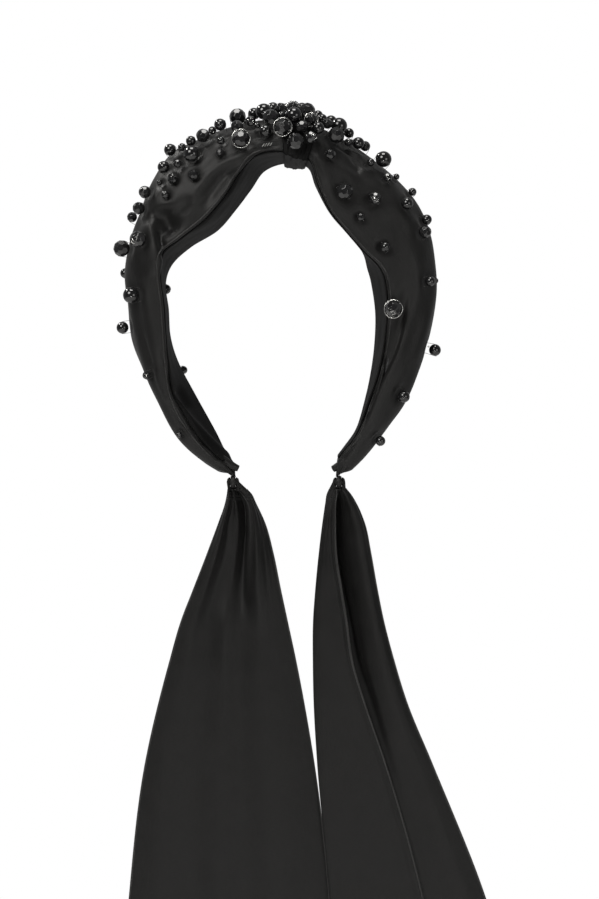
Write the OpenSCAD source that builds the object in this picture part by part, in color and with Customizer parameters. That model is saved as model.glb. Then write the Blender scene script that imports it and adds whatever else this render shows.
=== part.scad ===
// Knotted satin headband with a beaded crown and two long scarf tails.
// It stands as it is worn: X across the head, Y from the front (-) to the back (+), Z up.
// The origin is where the lining rests on the top of the head. Sizes are in millimetres.

/* [Fabric] */
// Thickness of the folded satin cover
cover_t = 0.8; // [0.6:0.1:1]
// Width of the cover's turned-in hem under the band
hem_w = 6; // [4:0.5:8]
// How square the padded section is: 1 is an ellipse, less is fuller
dome = 0.8; // [0.7:0.05:1]
// Thickness of the satin wrap round the knot
wrap_t = 1.2; // [0.8:0.1:1.6]
// Thickness of a scarf tail with its two layers and the air between them
tail_t = 1.6; // [1.2:0.1:2]
// Length of a scarf tail below its gather
tail_length = 400; // [300:10:450]

/* [Inner parts] */
// Width of the flexible hoop
hoop_w = 12; // [8:1:14]
// Thickness of the flexible hoop
hoop_t = 1.6; // [1.2:0.1:1.8]
// Thickness of the lining ribbon
lining_t = 0.8; // [0.5:0.1:1]
// Distance from the band's underside up to the foam pad
pad_floor = 3.35; // [3:0.05:3.6]

/* [Beads] */
// Diameter of the thread hole in a bead
hole_d = 0.8; // [0.6:0.1:1]
// Diameter of the sewing thread
thread_d = 0.5; // [0.3:0.1:0.6]
// Height of a sewn bead above the satin
bead_gap = 0.6; // [0.5:0.1:0.8]
// Thickness of the silver wire round a rimmed bead
rim_wire_d = 0.6; // [0.4:0.1:0.8]

/* [Tail joints] */
// Radius of the rolled gather that a tail swings on
roll_r = 2; // [1.6:0.1:2.2]
// Radial play of the roll in its sewn loop
loop_play = 0.3; // [0.2:0.05:0.4]
// Thickness of the sewn loop
loop_t = 0.8; // [0.6:0.1:1]

/* [Hidden] */

satin = [0.10, 0.10, 0.10];
lining_black = [0.05, 0.05, 0.05];
bead_black = [0.03, 0.03, 0.03];
gap = 0.15;
lining_gap = 0.45;
pad_gap = 0.45;

// The band's stations from the left end over the crown to the right end. Each holds the outer edge,
// the front lower edge and the back lower edge as X, Z pairs, and then the depth from front to back.
STATIONS = [
    [-29, -157, -27.5, -153.5, -22.5, -152.5, 11],
    [-38, -151, -36, -146.5, -27, -148, 16],
    [-50.5, -139, -46.5, -134, -33, -136, 22],
    [-61.5, -120, -54.5, -118, -43.5, -117.5, 28],
    [-70, -103, -57, -101, -52.5, -101.5, 32],
    [-75.5, -88, -58, -87, -57, -88, 34],
    [-77.5, -72, -59, -72, -58, -74, 35],
    [-78.5, -57, -60.5, -60, -59.5, -61, 36],
    [-76, -42, -59.5, -48, -56, -51, 38],
    [-71, -27, -50, -40, -46.5, -42, 40],
    [-64, -10, -37.5, -30, -33, -33.5, 44],
    [-54, 3.5, -28, -19, -23.5, -22.5, 46],
    [-38, 11, -21, -8, -16, -12.5, 48],
    [-20, 17, -13, 0.5, -9, -3, 48],
    [3, 20.5, 2, 2.5, 2, 1, 48],
    [20, 15.5, 14, -2, 13, -1, 48],
    [34, 8, 18, -14, 17.5, -11, 48],
    [47, -0.5, 24, -27, 24.5, -24, 47],
    [59, -11, 32.5, -37.5, 33, -34, 45],
    [69, -24, 41, -47, 41, -44, 42],
    [74.5, -40, 48.5, -54, 43.5, -53, 40],
    [76.5, -56, 52, -62, 45.5, -61, 38],
    [76.5, -72, 53, -75, 47.5, -76, 36],
    [73.5, -89, 51.5, -92, 47, -92, 34],
    [68, -107, 48, -108, 45, -107, 30],
    [60, -123.5, 43, -122.5, 42, -121, 26],
    [49.5, -138, 37.5, -137.5, 38, -134, 20],
    [41, -149, 31, -146, 32, -143, 15],
    [33, -156.5, 27, -151.5, 26.5, -150, 11]
];
last = len(STATIONS) - 1;
left_seam = 12.5;
right_seam = 17;
seam_gap = 0.02;
wrap_from = 13.9;
wrap_to = 14.9;
arc_steps = 12;

function spline(p, t) =
    let (i = min(floor(t), len(p) - 2), f = t - i,
         a = p[max(i - 1, 0)], b = p[i], c = p[i + 1], d = p[min(i + 2, len(p) - 1)])
    0.5 * (2 * b + (c - a) * f + (2 * a - 5 * b + 4 * c - d) * f * f
           + (3 * b - a - 3 * c + d) * f * f * f);
function unit(v) = v / norm(v);

// The band's section at station s: its base runs across, from front to back, and its crown is up.
function outer_edge(s) = let (r = spline(STATIONS, s)) [r[0], 0, r[1]];
function front_edge(s) = let (r = spline(STATIONS, s)) [r[2], -r[6] / 2, r[3]];
function back_edge(s) = let (r = spline(STATIONS, s)) [r[4], r[6] / 2, r[5]];
function mid(s) = (front_edge(s) + back_edge(s)) / 2;
function across(s) = unit(back_edge(s) - front_edge(s));
function base_len(s) = norm(back_edge(s) - front_edge(s));
function up(s) = let (v = outer_edge(s) - mid(s), b = across(s)) unit(v - (v * b) * b);
function place(s, u, v) = mid(s) + u * across(s) + v * up(s);

// A point of the padded arc at angle a, 0 at the front edge and 180 at the back edge. The arc is
// moved in by inset, and its two ends are at height floor_v.
function arc_point(s, a, inset, floor_v) =
    let (top = outer_edge(s) - mid(s), half = base_len(s) / 2 - inset,
         rise = top * up(s) - inset - floor_v, lean = top * across(s))
    place(s, -half * cos(a) + lean * sin(a), floor_v + rise * pow(sin(a), dome));
function arc(s, inset, floor_v) =
    [for (i = [0:arc_steps]) arc_point(s, 180 * i / arc_steps, inset, floor_v)];

// Stations from s0 to s1: the two ends, and between them every half station and the wrap's edges,
// so that pieces that lie on each other have their rings in the same planes
PLANES = [for (i = [0:2 * last]) each [for (w = [wrap_from, wrap_to]) if (w > i / 2 - 0.5 && w < i / 2) w,
                                       i / 2]];
function steps(s0, s1) = concat([s0], [for (s = PLANES) if (s > s0 && s < s1) s], [s1]);

// A solid through rings of equal length, each a loop of points in one plane
module loft(rings, caps) {
    n = len(rings[0]);
    sides = [for (k = [0:len(rings) - 2], i = [0:n - 1]) let (j = (i + 1) % n)
        each [[k * n + i, (k + 1) * n + j, (k + 1) * n + i], [k * n + i, k * n + j, (k + 1) * n + j]]];
    far = (len(rings) - 1) * n;
    ends = [for (f = caps) each [f, [for (i = [len(f) - 1:-1:0]) far + f[i]]]];
    polyhedron(points = [for (r = rings) each r], faces = concat(sides, ends), convexity = 6);
}

// Caps for a ring whose first half is the outside and whose second half runs back along the inside
function strip_caps(n) = [for (i = [0:n - 2]) [2 * n - 1 - i, 2 * n - 2 - i, i + 1, i]];
function solid_caps(n) = [[for (i = [n - 1:-1:0]) i]];

module cover(s0, s1) {
    n = arc_steps + 3;
    rings = [for (s = steps(s0, s1)) let (h = base_len(s) / 2 - min(hem_w, 0.25 * base_len(s)))
        concat([place(s, -h, 0)], arc(s, 0, 0), [place(s, h, 0), place(s, h, cover_t)],
               [for (i = [arc_steps:-1:0]) arc(s, cover_t, cover_t)[i]], [place(s, -h, cover_t)])];
    loft(rings, strip_caps(n));
}

// The foam fills the cover down to a flat underside just above the hoop
function hoop_width(s) = min(hoop_w, 0.45 * base_len(s));
module pad(s0, s1) {
    inset = cover_t + pad_gap;
    rings = [for (s = steps(s0, s1))
        let (rise = (outer_edge(s) - mid(s)) * up(s) - 2 * inset, h = hoop_width(s) / 2 + 0.5,
             low = asin(pow((pad_floor - inset) / rise, 1 / dome)))
        concat([for (i = [0:arc_steps]) arc_point(s, low + (180 - 2 * low) * i / arc_steps, inset, inset)],
               [place(s, h, pad_floor), place(s, -h, pad_floor)])];
    loft(rings, solid_caps(arc_steps + 3));
}

// A flat strip along the middle of the base, from height v0 to v1
module strip(s0, s1, v0, v1, width_at) {
    loft([for (s = steps(s0, s1)) let (h = width_at(s) / 2)
        [place(s, -h, v0), place(s, -h, v1), place(s, h, v1), place(s, h, v0)]], solid_caps(4));
}

module hoop() {
    color([0.15, 0.15, 0.16])
        strip(0.6, last - 0.6, cover_t + gap, cover_t + gap + hoop_t, function (s) hoop_width(s));
}
module lining_ribbon() {
    color(lining_black)
        strip(0.3, last - 0.3, -lining_gap - lining_t, -lining_gap, function (s) base_len(s) - 4);
}
module crown_pad() { color([0.3, 0.3, 0.3]) pad(left_seam + seam_gap, right_seam - seam_gap); }
module left_pad() { color([0.3, 0.3, 0.3]) pad(1, left_seam - seam_gap); }
module right_pad() { color([0.3, 0.3, 0.3]) pad(right_seam + seam_gap, last - 1); }
module crown_cover() { color(satin) cover(left_seam + seam_gap, right_seam - seam_gap); }
module left_cover() { color(satin) cover(0.2, left_seam - seam_gap); }
module right_cover() { color(satin) cover(right_seam + seam_gap, last - 0.2); }

// The satin loop round the whole band at the knot: an inside and an outside loop of points
wrap_in = 0.7;
function wrap_ring(s, grow) = arc(s, -grow, -lining_gap - lining_t - grow);
module knot_wrap() {
    n = arc_steps + 1;
    ss = steps(wrap_from, wrap_to);
    inner = [for (s = ss) wrap_ring(s, wrap_in)];
    outer = [for (s = ss) wrap_ring(s, wrap_in + wrap_t)];
    rings = [for (k = [0:len(ss) - 1]) concat(outer[k], inner[k])];
    m = 2 * n;
    far = (len(ss) - 1) * m;
    sides = [for (k = [0:len(ss) - 2], i = [0:n - 1]) let (j = (i + 1) % n, a = k * m, b = a + m)
        each [[a + i, b + j, b + i], [a + i, a + j, b + j],
              [a + n + i, b + n + i, b + n + j], [a + n + i, b + n + j, a + n + j]]];
    ends = [for (i = [0:n - 1]) let (j = (i + 1) % n)
        each [[i, n + i, n + j], [i, n + j, j],
              [far + i, far + n + j, far + n + i], [far + i, far + j, far + n + j]]];
    color(satin)
        polyhedron(points = [for (r = rings) each r], faces = concat(sides, ends), convexity = 6);
}

// Short stitches that hold the cover beside the wrap, at its lower front edge
module knot_stitches() {
    color("silver")
        for (i = [0:3]) translate(arc_point(13.35 + 0.07 * i, 6, -0.5, 0))
            rotate([0, 35, 0]) cylinder(d = thread_d, h = 1.4, center = true, $fn = 16);
}

// Where a bead of diameter d lies: X and Z are given, and Y follows the band's surface.
// side is -1 on the front and 1 on the back, and lift moves the bead further out along Y.
SAMPLES = [for (i = [0:4 * last]) i / 4];
function closest(list, i = 0, best = [1e9, 0]) =
    i >= len(list) ? best[1] : closest(list, i + 1, list[i][0] < best[0] ? list[i] : best);
function station_near(x, z) = closest([for (s = SAMPLES)
    let (m = mid(s), o = outer_edge(s), d = unit([o[0] - m[0], o[2] - m[2]]), p = [x - m[0], z - m[2]],
         v = p * d, off = abs(p[0] * d[1] - p[1] * d[0]))
    if (v > -14 && v < norm(o - m) + 16) [off, s]]);
function bead_angle(s, height, n, reach, side, low = 0, high = 90, turns = 12) =
    let (a = (low + high) / 2, p = arc_point(s, side < 0 ? a : 180 - a, -height, 0) - mid(s))
    turns == 0 ? (side < 0 ? a : 180 - a)
        : [p[0], p[2]] * n < reach ? bead_angle(s, height, n, reach, side, a, high, turns - 1)
        : bead_angle(s, height, n, reach, side, low, a, turns - 1);
function bead_frame(x, z, d, side, lift) =
    let (s = station_near(x, z), m = mid(s), o = outer_edge(s), n = unit([o[0] - m[0], o[2] - m[2]]),
         wrap = s > wrap_from - 0.2 && s < wrap_to + 0.2 ? wrap_t + wrap_in : 0,
         height = d / 2 + bead_gap + wrap,
         a = bead_angle(s, height, n, [x - m[0], z - m[2]] * n, side))
    [[x, arc_point(s, a, -height, 0)[1] + side * lift, z], atan2(n[1], n[0])];

module at_bead(b, side) {
    f = bead_frame(b[0], b[1], b[2], side, b[3]);
    translate(f[0]) rotate([0, 90 - f[1], 0]) children();
}
module thread_hole(d) { rotate([0, 90, 0]) cylinder(d = hole_d, h = 2 * d, center = true, $fn = 16); }
module round_bead(d) {
    rotate([0, 90, 0]) rotate_extrude($fn = 20) intersection() {
        circle(d = d, $fn = 20);
        translate([hole_d / 2, -d]) square([d, 2 * d]);
    }
}
module cut_bead(d) {
    across_corners = d / cos(22.5);
    difference() {
        intersection_for (turn = [[0, 0, 0], [90, 0, 0], [0, 90, 0]])
            rotate(turn) rotate([0, 0, 22.5]) cylinder(d = across_corners, h = d, center = true, $fn = 8);
        thread_hole(d);
    }
}
module thread(d) { rotate([0, 90, 0]) cylinder(d = thread_d, h = d + 0.4, center = true, $fn = 16); }
module wire_ring(d) {
    rotate([90, 0, 0]) rotate_extrude($fn = 48)
        translate([d / 2 / cos(22.5) + rim_wire_d / 2 + 0.1, 0]) circle(d = rim_wire_d, $fn = 16);
}

// Beads: X, Z, diameter and lift. Front beads come first in each group, then the back ones.
crown_round = [
    [-14, 23, 6, 2], [-9, 23, 8, 0], [-8, 12, 6, 0], [-12, 15, 3, 0], [-4.5, 25.5, 6, -2],
    [0, 20.5, 3.8, -0.35], [2, 26.5, 4, -1], [6, 20, 8, 0], [10, 26, 6, -2], [18, 13.5, 6, 0.5],
    [20, 19.5, 5, 0], [18, 22.5, 5, -1], [24.5, 19.5, 6, -1], [28.5, 16.5, 8, 5], [33.5, 13.5, 5, 0],
    [38, 7.5, 6, 0], [44, -2.5, 4, 0]
];
crown_faceted = [
    [-22, 20.5, 8, 0], [-22, 14.5, 6, 0], [-5.5, 19, 8, 0], [-0.5, 24, 6, 0], [7, 6.5, 8, 0],
    [12.5, 23, 8, 0], [10, 14, 6, 0], [22.5, 16.5, 5, 0], [27, 10.5, 8, 0], [41.5, 6.5, 5, 0],
    [24, 0.5, 5, 0], [31, -18, 8, 0]
];
crown_rimmed = [[-20, 8, 8, 0], [5.5, 25, 6, 0], [0.5, 13.5, 8, 0], [14.5, 18, 6, 0]];
crown_crystal = [[-15.5, 17.5, 5, 0], [14.5, 8.5, 6, 0], [33, 7.5, 4, 0]];
left_round = [
    [-55.5, 4, 6, 0], [-49.5, 5, 4, 0], [-45, 8, 5, 0], [-44.5, 1, 8, 0], [-58.5, -5, 6, 0],
    [-60.5, -12.5, 3, 0], [-57.5, -19, 4, 0], [-74.5, -68.5, 8, 0], [-79.5, -84, 6, 0],
    [-51, -137.5, 3, 0], [-30.5, 16, 6, 2], [-30, 7.5, 4, 0]
];
left_faceted = [
    [-51.5, -3.5, 4, 0], [-43.5, -9.5, 5, 0], [-68, -17, 6, 0], [-71, -25, 6, 0], [-79.5, -45, 8, 0],
    [-40, 9, 5, 0], [-37.5, 12.5, 4, 2.2], [-30.5, 1.5, 4, 0]
];
left_crystal = [
    [-54, -11, 5, 0], [-75, -28.5, 5, 0], [-71, -41, 8, 0], [-67, -108, 4, 0], [-34.5, 13.5, 4, -0.7]
];
right_round = [
    [50.5, -0.5, 8, 0], [57, -9, 3, 0], [62, -23, 6, 0], [65, -16.5, 4, 0], [72, -30.5, 5, 0],
    [51, -45, 5, 0], [73.5, -61.5, 5, 0], [76.5, -95, 6, 0], [60.5, -118.5, 6, 0],
    [49, -140.5, 5, 1]
];
right_faceted = [[39, -30.5, 4, 0], [71, -37, 6, 0]];
right_crystal = [[52.5, -10, 4, 0], [46, -21, 6, 0]];
right_rimmed = [55, -75.5, 8, 0];
crown_round_back = [
    [-19, 19, 6, 0], [-11, 14, 6, 0], [-2, 16, 8, 0], [9, 21, 6, 0], [17, 17, 6, 0], [26, 13, 8, 0],
    [35, 9, 5, 0], [3, 7, 5, 0]
];
crown_faceted_back = [[-6, 21, 6, 0], [4, 23, 6, 0], [14, 11, 6, 0], [21, 6, 5, 0], [-17, 7, 5, 0]];
left_round_back = [
    [-41, 12.5, 4, 0], [-49, -2, 6, 0], [-79, -56, 5, 0], [-66, -26, 5, 0], [-72, -80, 5, 0]
];
left_faceted_back = [[-50, -104.5, 4, 0], [-58, -12, 5, 0], [-36, 3, 5, 0]];
left_crystal_back = [[-59, -63.5, 5, 0]];
right_round_back = [
    [77, -60, 3, 0], [52, -7, 6, 0], [66, -28, 5, 0], [70, -84, 5, 0]
];
right_faceted_back = [[47, -18, 5, 0], [72, -50, 5, 0]];

module round_group(front, back) {
    color(bead_black) {
        for (b = front) at_bead(b, -1) round_bead(b[2]);
        for (b = back) at_bead(b, 1) round_bead(b[2]);
    }
}
module cut_group(front, back, tint) {
    color(tint) {
        for (b = front) at_bead(b, -1) cut_bead(b[2]);
        for (b = back) at_bead(b, 1) cut_bead(b[2]);
    }
}
module thread_group(front, back) {
    color([0.2, 0.2, 0.2]) {
        for (b = front) at_bead(b, -1) thread(b[2]);
        for (b = back) at_bead(b, 1) thread(b[2]);
    }
}
module crown_round_beads() { round_group(crown_round, crown_round_back); }
module crown_faceted_beads() { cut_group(crown_faceted, crown_faceted_back, bead_black); }
module crown_rimmed_beads() { cut_group(crown_rimmed, [], bead_black); }
module crown_bead_rims() { color("silver") for (b = crown_rimmed) at_bead(b, -1) wire_ring(b[2]); }
module crown_crystal_beads() { cut_group(crown_crystal, [], "lightgrey"); }
module crown_bead_threads() {
    thread_group(concat(crown_round, crown_faceted, crown_rimmed, crown_crystal),
                 concat(crown_round_back, crown_faceted_back));
}
module left_round_beads() { round_group(left_round, left_round_back); }
module left_faceted_beads() { cut_group(left_faceted, left_faceted_back, bead_black); }
module left_crystal_beads() { cut_group(left_crystal, left_crystal_back, "lightgrey"); }
module left_bead_threads() {
    thread_group(concat(left_round, left_faceted, left_crystal),
                 concat(left_round_back, left_faceted_back, left_crystal_back));
}
module right_round_beads() { round_group(right_round, right_round_back); }
module right_faceted_beads() { cut_group(right_faceted, right_faceted_back, bead_black); }
module right_crystal_beads() { cut_group(concat(right_crystal, [right_rimmed]), [], "lightgrey"); }
module right_crystal_rim() { color("silver") at_bead(right_rimmed, -1) wire_ring(right_rimmed[2]); }
module right_bead_threads() {
    thread_group(concat(right_round, right_faceted, right_crystal, [right_rimmed]),
                 concat(right_round_back, right_faceted_back));
}
module right_seed_bead() {
    color("white") at_bead([73, -93.5, 1, 0.4], -1) sphere(d = 1, $fn = 24);
}

// Each tail swings on a rolled gather whose axis runs along X through a sewn loop
loop_in = roll_r + loop_play;
loop_out = loop_in + loop_t;
loop_w = 2.4;
roll_w = 7.5;
leg_w = (roll_w - loop_w) / 2 - 0.3;
leg_drop = loop_out + 0.9;
left_hinge = [-24.5, 0, -161];
right_hinge = [28.5, 0, -161];

module end_fold(tip, heel, root) {
    color(satin) hull() {
        translate(tip) sphere(r = 1.6, $fn = 20);
        translate(heel) sphere(r = 1.2, $fn = 20);
        translate(root) sphere(r = 1.2, $fn = 20);
    }
}
module left_end_fold() { end_fold([-22, 0, -154.5], [-27.5, 0, -156.5], [-24.8, 0, -156.4]); }
module right_end_fold() { end_fold([26, 0, -154], [31.5, 0, -156.8], [28.6, 0, -156.4]); }

module tail_loop(hinge) {
    color(satin) translate(hinge) rotate([0, 90, 0])
        rotate_extrude($fn = 64) translate([loop_in, -loop_w / 2]) square([loop_t, loop_w]);
}
module left_tail_loop() { tail_loop(left_hinge); }
module right_tail_loop() { tail_loop(right_hinge); }

module gather(hinge) {
    color(satin) translate(hinge) {
        rotate([0, 90, 0]) cylinder(r = roll_r, h = roll_w, center = true, $fn = 48);
        for (side = [-1, 1])
            translate([side * (roll_w - leg_w) / 2 - leg_w / 2, -1.4, -leg_drop])
                cube([leg_w, 2.8, leg_drop]);
    }
}
module left_gather() { gather(left_hinge); }
module right_gather() { gather(right_hinge); }

// The tails' edges: distance below the hinge, left X and right X. The last row is the hem.
left_tail_rows = [
    [4.2, -29, -19.5], [8, -29.5, -15.5], [17, -30.5, -10], [39, -38.5, -4], [76, -52, 3.5],
    [113, -61.5, 11], [145, -69, 17], [172, -73, 20.5], [209, -76.5, 24], [260, -80, 26.5],
    [320, -83, 27.5], [tail_length, -85, 28]
];
right_tail_rows = [
    [4.2, 24, 32.5], [8, 22.5, 35], [17, 20.5, 40.5], [39, 18, 45], [72, 15.5, 50.5],
    [98, 16, 58], [128, 17, 69.5], [164, 20, 85], [209, 25.2, 102], [260, 27.7, 117],
    [320, 28.7, 127], [tail_length, 29.2, 133]
];
tail_folds = 12;

// Depth of the pleats: they start in the gather, stand out below it and flatten towards the hem
function pleat_depth(drop) = 0.2 + 4.8 * exp(-pow((drop - 50) / 30, 2));
function tail_ring(rows, hinge, t, pleats) =
    let (r = spline(rows, t), half_t = tail_t / 2 + 0.9 * exp(-r[0] / 12),
         wave = [for (i = [0:tail_folds]) let (u = i / tail_folds)
             [r[1] + (r[2] - r[1]) * u, pleat_depth(r[0]) * sin(360 * pleats * u)]])
    concat([for (i = [0:tail_folds]) [wave[i][0], wave[i][1] - half_t, hinge[2] - r[0]]],
           [for (i = [tail_folds:-1:0]) [wave[i][0], wave[i][1] + half_t, hinge[2] - r[0]]]);
module tail(rows, hinge, pleats) {
    n = tail_folds + 1;
    color(satin)
        loft([for (t = [0:0.5:len(rows) - 1]) tail_ring(rows, hinge, t, pleats)], strip_caps(n));
}
module left_tail() { tail(left_tail_rows, left_hinge, 2); }
module right_tail() { tail(right_tail_rows, right_hinge, 2); }

// Three turns of thread round the gathered top of a tail
module gather_thread(rows, hinge) {
    color([0.2, 0.2, 0.2])
        for (turn = [0:2]) let (drop = 7 + 0.9 * turn, r = spline(rows, 0.9 + 0.1 * turn))
            translate([(r[1] + r[2]) / 2, 0, hinge[2] - drop])
                scale([(r[2] - r[1]) / 2 + 1.5, 5.2, 1])
                    rotate_extrude($fn = 48) translate([1, 0]) circle(r = 0.12, $fn = 13);
}
module left_gather_thread() { gather_thread(left_tail_rows, left_hinge); }
module right_gather_thread() { gather_thread(right_tail_rows, right_hinge); }

hoop();
lining_ribbon();
crown_pad();
crown_cover();
knot_wrap();
knot_stitches();
crown_round_beads();
crown_faceted_beads();
crown_rimmed_beads();
crown_bead_rims();
crown_crystal_beads();
crown_bead_threads();
left_pad();
left_cover();
left_end_fold();
left_tail_loop();
left_round_beads();
left_faceted_beads();
left_crystal_beads();
left_bead_threads();
right_pad();
right_cover();
right_end_fold();
right_tail_loop();
right_round_beads();
right_faceted_beads();
right_crystal_beads();
right_bead_threads();
right_crystal_rim();
right_seed_bead();
left_gather();
left_gather_thread();
left_tail();
right_gather();
right_gather_thread();
right_tail();
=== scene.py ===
"""A knotted satin headband with a beaded crown and two scarf tails, built round its CAD frame."""
import math

import bmesh
import bpy
import numpy as np
from mathutils import Matrix, Vector


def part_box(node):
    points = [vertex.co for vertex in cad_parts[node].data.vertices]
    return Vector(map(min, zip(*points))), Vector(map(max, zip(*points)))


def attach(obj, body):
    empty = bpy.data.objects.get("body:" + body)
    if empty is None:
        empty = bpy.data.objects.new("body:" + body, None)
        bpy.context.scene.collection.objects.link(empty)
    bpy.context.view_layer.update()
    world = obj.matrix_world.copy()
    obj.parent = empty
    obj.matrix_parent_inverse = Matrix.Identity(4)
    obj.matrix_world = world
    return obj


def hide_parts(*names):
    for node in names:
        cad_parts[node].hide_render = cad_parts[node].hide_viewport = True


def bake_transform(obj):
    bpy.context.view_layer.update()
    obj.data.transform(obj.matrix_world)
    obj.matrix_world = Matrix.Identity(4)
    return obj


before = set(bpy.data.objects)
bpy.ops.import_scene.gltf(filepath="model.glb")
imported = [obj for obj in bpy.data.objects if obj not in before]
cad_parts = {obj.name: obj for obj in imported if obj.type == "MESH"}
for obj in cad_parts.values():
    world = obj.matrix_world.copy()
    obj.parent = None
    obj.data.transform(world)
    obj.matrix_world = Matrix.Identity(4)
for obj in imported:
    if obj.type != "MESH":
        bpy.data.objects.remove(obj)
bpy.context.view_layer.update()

MM = 0.001
rng = np.random.default_rng(7)


# ---------------------------------------------------------------- reading the CAD meshes
def cad_mesh(node):
    """A CAD node's points in mm, merged where they coincide, and its triangles."""
    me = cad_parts[node].data
    co = np.empty(len(me.vertices) * 3, np.float32)
    me.vertices.foreach_get("co", co)
    me.calc_loop_triangles()
    tri = np.empty(len(me.loop_triangles) * 3, np.int32)
    me.loop_triangles.foreach_get("vertices", tri)
    pts, back = np.unique((co.reshape(-1, 3).astype(float) * 1e3).round(2), axis=0, return_inverse=True)
    return pts, back.reshape(-1)[tri].reshape(-1, 3)


def islands(node):
    """The separate solids of a CAD node, each as its own array of points."""
    pts, tri = cad_mesh(node)
    label = np.arange(len(pts))
    while True:
        low = label[tri].min(axis=1)
        new = label.copy()
        for k in range(3):
            np.minimum.at(new, tri[:, k], low)
        new = new[new]
        if (new == label).all():
            break
        label = new
    return [pts[label == k] for k in np.unique(label)]


def unit(v):
    return v / np.linalg.norm(v, axis=-1, keepdims=True)


def run_along(path):
    """The distance along a path to each of its points."""
    return np.concatenate([[0], np.cumsum(np.linalg.norm(np.diff(path, axis=0), axis=1))])


def circle(n):
    """n angles, evenly spread round a circle."""
    return np.linspace(0, 2 * math.pi, n, endpoint=False)


def smooth(t):
    """A soft step from 0 to 1 as t goes from 0 to 1."""
    t = np.clip(t, 0, 1)
    return t * t * (3 - 2 * t)


def curve(xs, ys, x):
    """Cubic interpolation of the rows ys, given at xs, for each value of x."""
    xs, ys, x = np.asarray(xs, float), np.asarray(ys, float), np.asarray(x, float)
    slope = np.gradient(ys, xs, axis=0)
    i = np.clip(np.searchsorted(xs, x, side="right") - 1, 0, len(xs) - 2)
    h = xs[i + 1] - xs[i]
    t = (x - xs[i]) / h
    h, t = (v.reshape(v.shape + (1,) * (ys.ndim - 1)) for v in (h, t))
    return ((1 + 2 * t) * (1 - t) ** 2 * ys[i] + t * (1 - t) ** 2 * h * slope[i]
            + t * t * (3 - 2 * t) * ys[i + 1] + t * t * (t - 1) * h * slope[i + 1])


# ---------------------------------------------------------------- the band, as it is in the part's design
# Stations from the left end over the crown to the right end: the outer edge, the front edge and the
# back edge, each as X and Z in mm, and the distance from front to back.
STATIONS = [
    (-29, -157, -27.5, -153.5, -22.5, -152.5, 11), (-38, -151, -36, -146.5, -27, -148, 16),
    (-50.5, -139, -46.5, -134, -33, -136, 22), (-61.5, -120, -54.5, -118, -43.5, -117.5, 28),
    (-70, -103, -57, -101, -52.5, -101.5, 32), (-75.5, -88, -58, -87, -57, -88, 34),
    (-77.5, -72, -59, -72, -58, -74, 35), (-78.5, -57, -60.5, -60, -59.5, -61, 36),
    (-76, -42, -59.5, -48, -56, -51, 38), (-71, -27, -50, -40, -46.5, -42, 40),
    (-64, -10, -37.5, -30, -33, -33.5, 44), (-54, 3.5, -28, -19, -23.5, -22.5, 46),
    (-38, 11, -21, -8, -16, -12.5, 48), (-20, 17, -13, 0.5, -9, -3, 48), (3, 20.5, 2, 2.5, 2, 1, 48),
    (20, 15.5, 14, -2, 13, -1, 48), (34, 8, 18, -14, 17.5, -11, 48), (47, -0.5, 24, -27, 24.5, -24, 47),
    (59, -11, 32.5, -37.5, 33, -34, 45), (69, -24, 41, -47, 41, -44, 42),
    (74.5, -40, 48.5, -54, 43.5, -53, 40), (76.5, -56, 52, -62, 45.5, -61, 38),
    (76.5, -72, 53, -75, 47.5, -76, 36), (73.5, -89, 51.5, -92, 47, -92, 34),
    (68, -107, 48, -108, 45, -107, 30), (60, -123.5, 43, -122.5, 42, -121, 26),
    (49.5, -138, 37.5, -137.5, 38, -134, 20), (41, -149, 31, -146, 32, -143, 15),
    (33, -156.5, 27, -151.5, 26.5, -150, 11)
]
LINING_TOP, LINING_T, LINING_MARGIN = 0.45, 0.8, 2.0
HEM, EDGE_R, DOME = 6.0, 1.0, 0.8


def band(s):
    """The band at stations s: middle of the base, directions across and up, width, rise and lean."""
    rows = np.array([STATIONS[0]] + STATIONS + [STATIONS[-1]], float)
    x, z, fx, fz, bx, bz, wide = curve(np.arange(len(rows)) - 1, rows, s).T
    front, back = np.stack([fx, -wide / 2, fz], axis=-1), np.stack([bx, wide / 2, bz], axis=-1)
    mid, across = (front + back) / 2, unit(back - front)
    top = np.stack([x, 0 * x, z], axis=-1) - mid
    lean = (top * across).sum(-1)
    up = unit(top - lean[:, None] * across)
    return mid, across, up, np.linalg.norm(back - front, axis=1), (top * up).sum(-1), lean


def placed(s, u, v):
    """Points of the band at stations s, with u across and v up, both as rows of a table."""
    mid, across, up = band(s)[:3]
    return mid[:, None] + u[..., None] * across[:, None] + v[..., None] * up[:, None]


def skin_profile(s, inset=0.0, hem=True, n_arc=86):
    """The satin's section at stations s, from the front hem over the pad to the back hem."""
    width, rise, lean = (x[:, None] for x in band(s)[3:])
    half, rise = width / 2 - inset, rise - 2 * inset
    edge = np.minimum(EDGE_R, 0.15 * rise)
    tuck = np.minimum(HEM, 0.25 * width)
    low = np.arcsin((edge / rise) ** (1 / DOME))
    t = np.linspace(0, 1, n_arc)
    a = low + (math.pi - 2 * low) * (0.6 * t + 0.2 * (1 - np.cos(math.pi * t)))
    u, v = -half * np.cos(a) + lean * np.sin(a), rise * np.sin(a) ** DOME
    if hem:
        flat, turn = np.linspace(0, 1, 5)[:-1], np.linspace(0, math.pi / 2, 6)[:-1]
        hem_u = np.hstack([half - tuck + (tuck - edge) * flat, half - edge + edge * np.sin(turn)])
        hem_v = np.hstack([0 * edge * flat, edge - edge * np.cos(turn)])
        u = np.hstack([-hem_u, u, hem_u[:, ::-1]])
        v = np.hstack([hem_v, v, hem_v[:, ::-1]])
    return u, v + inset


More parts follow.
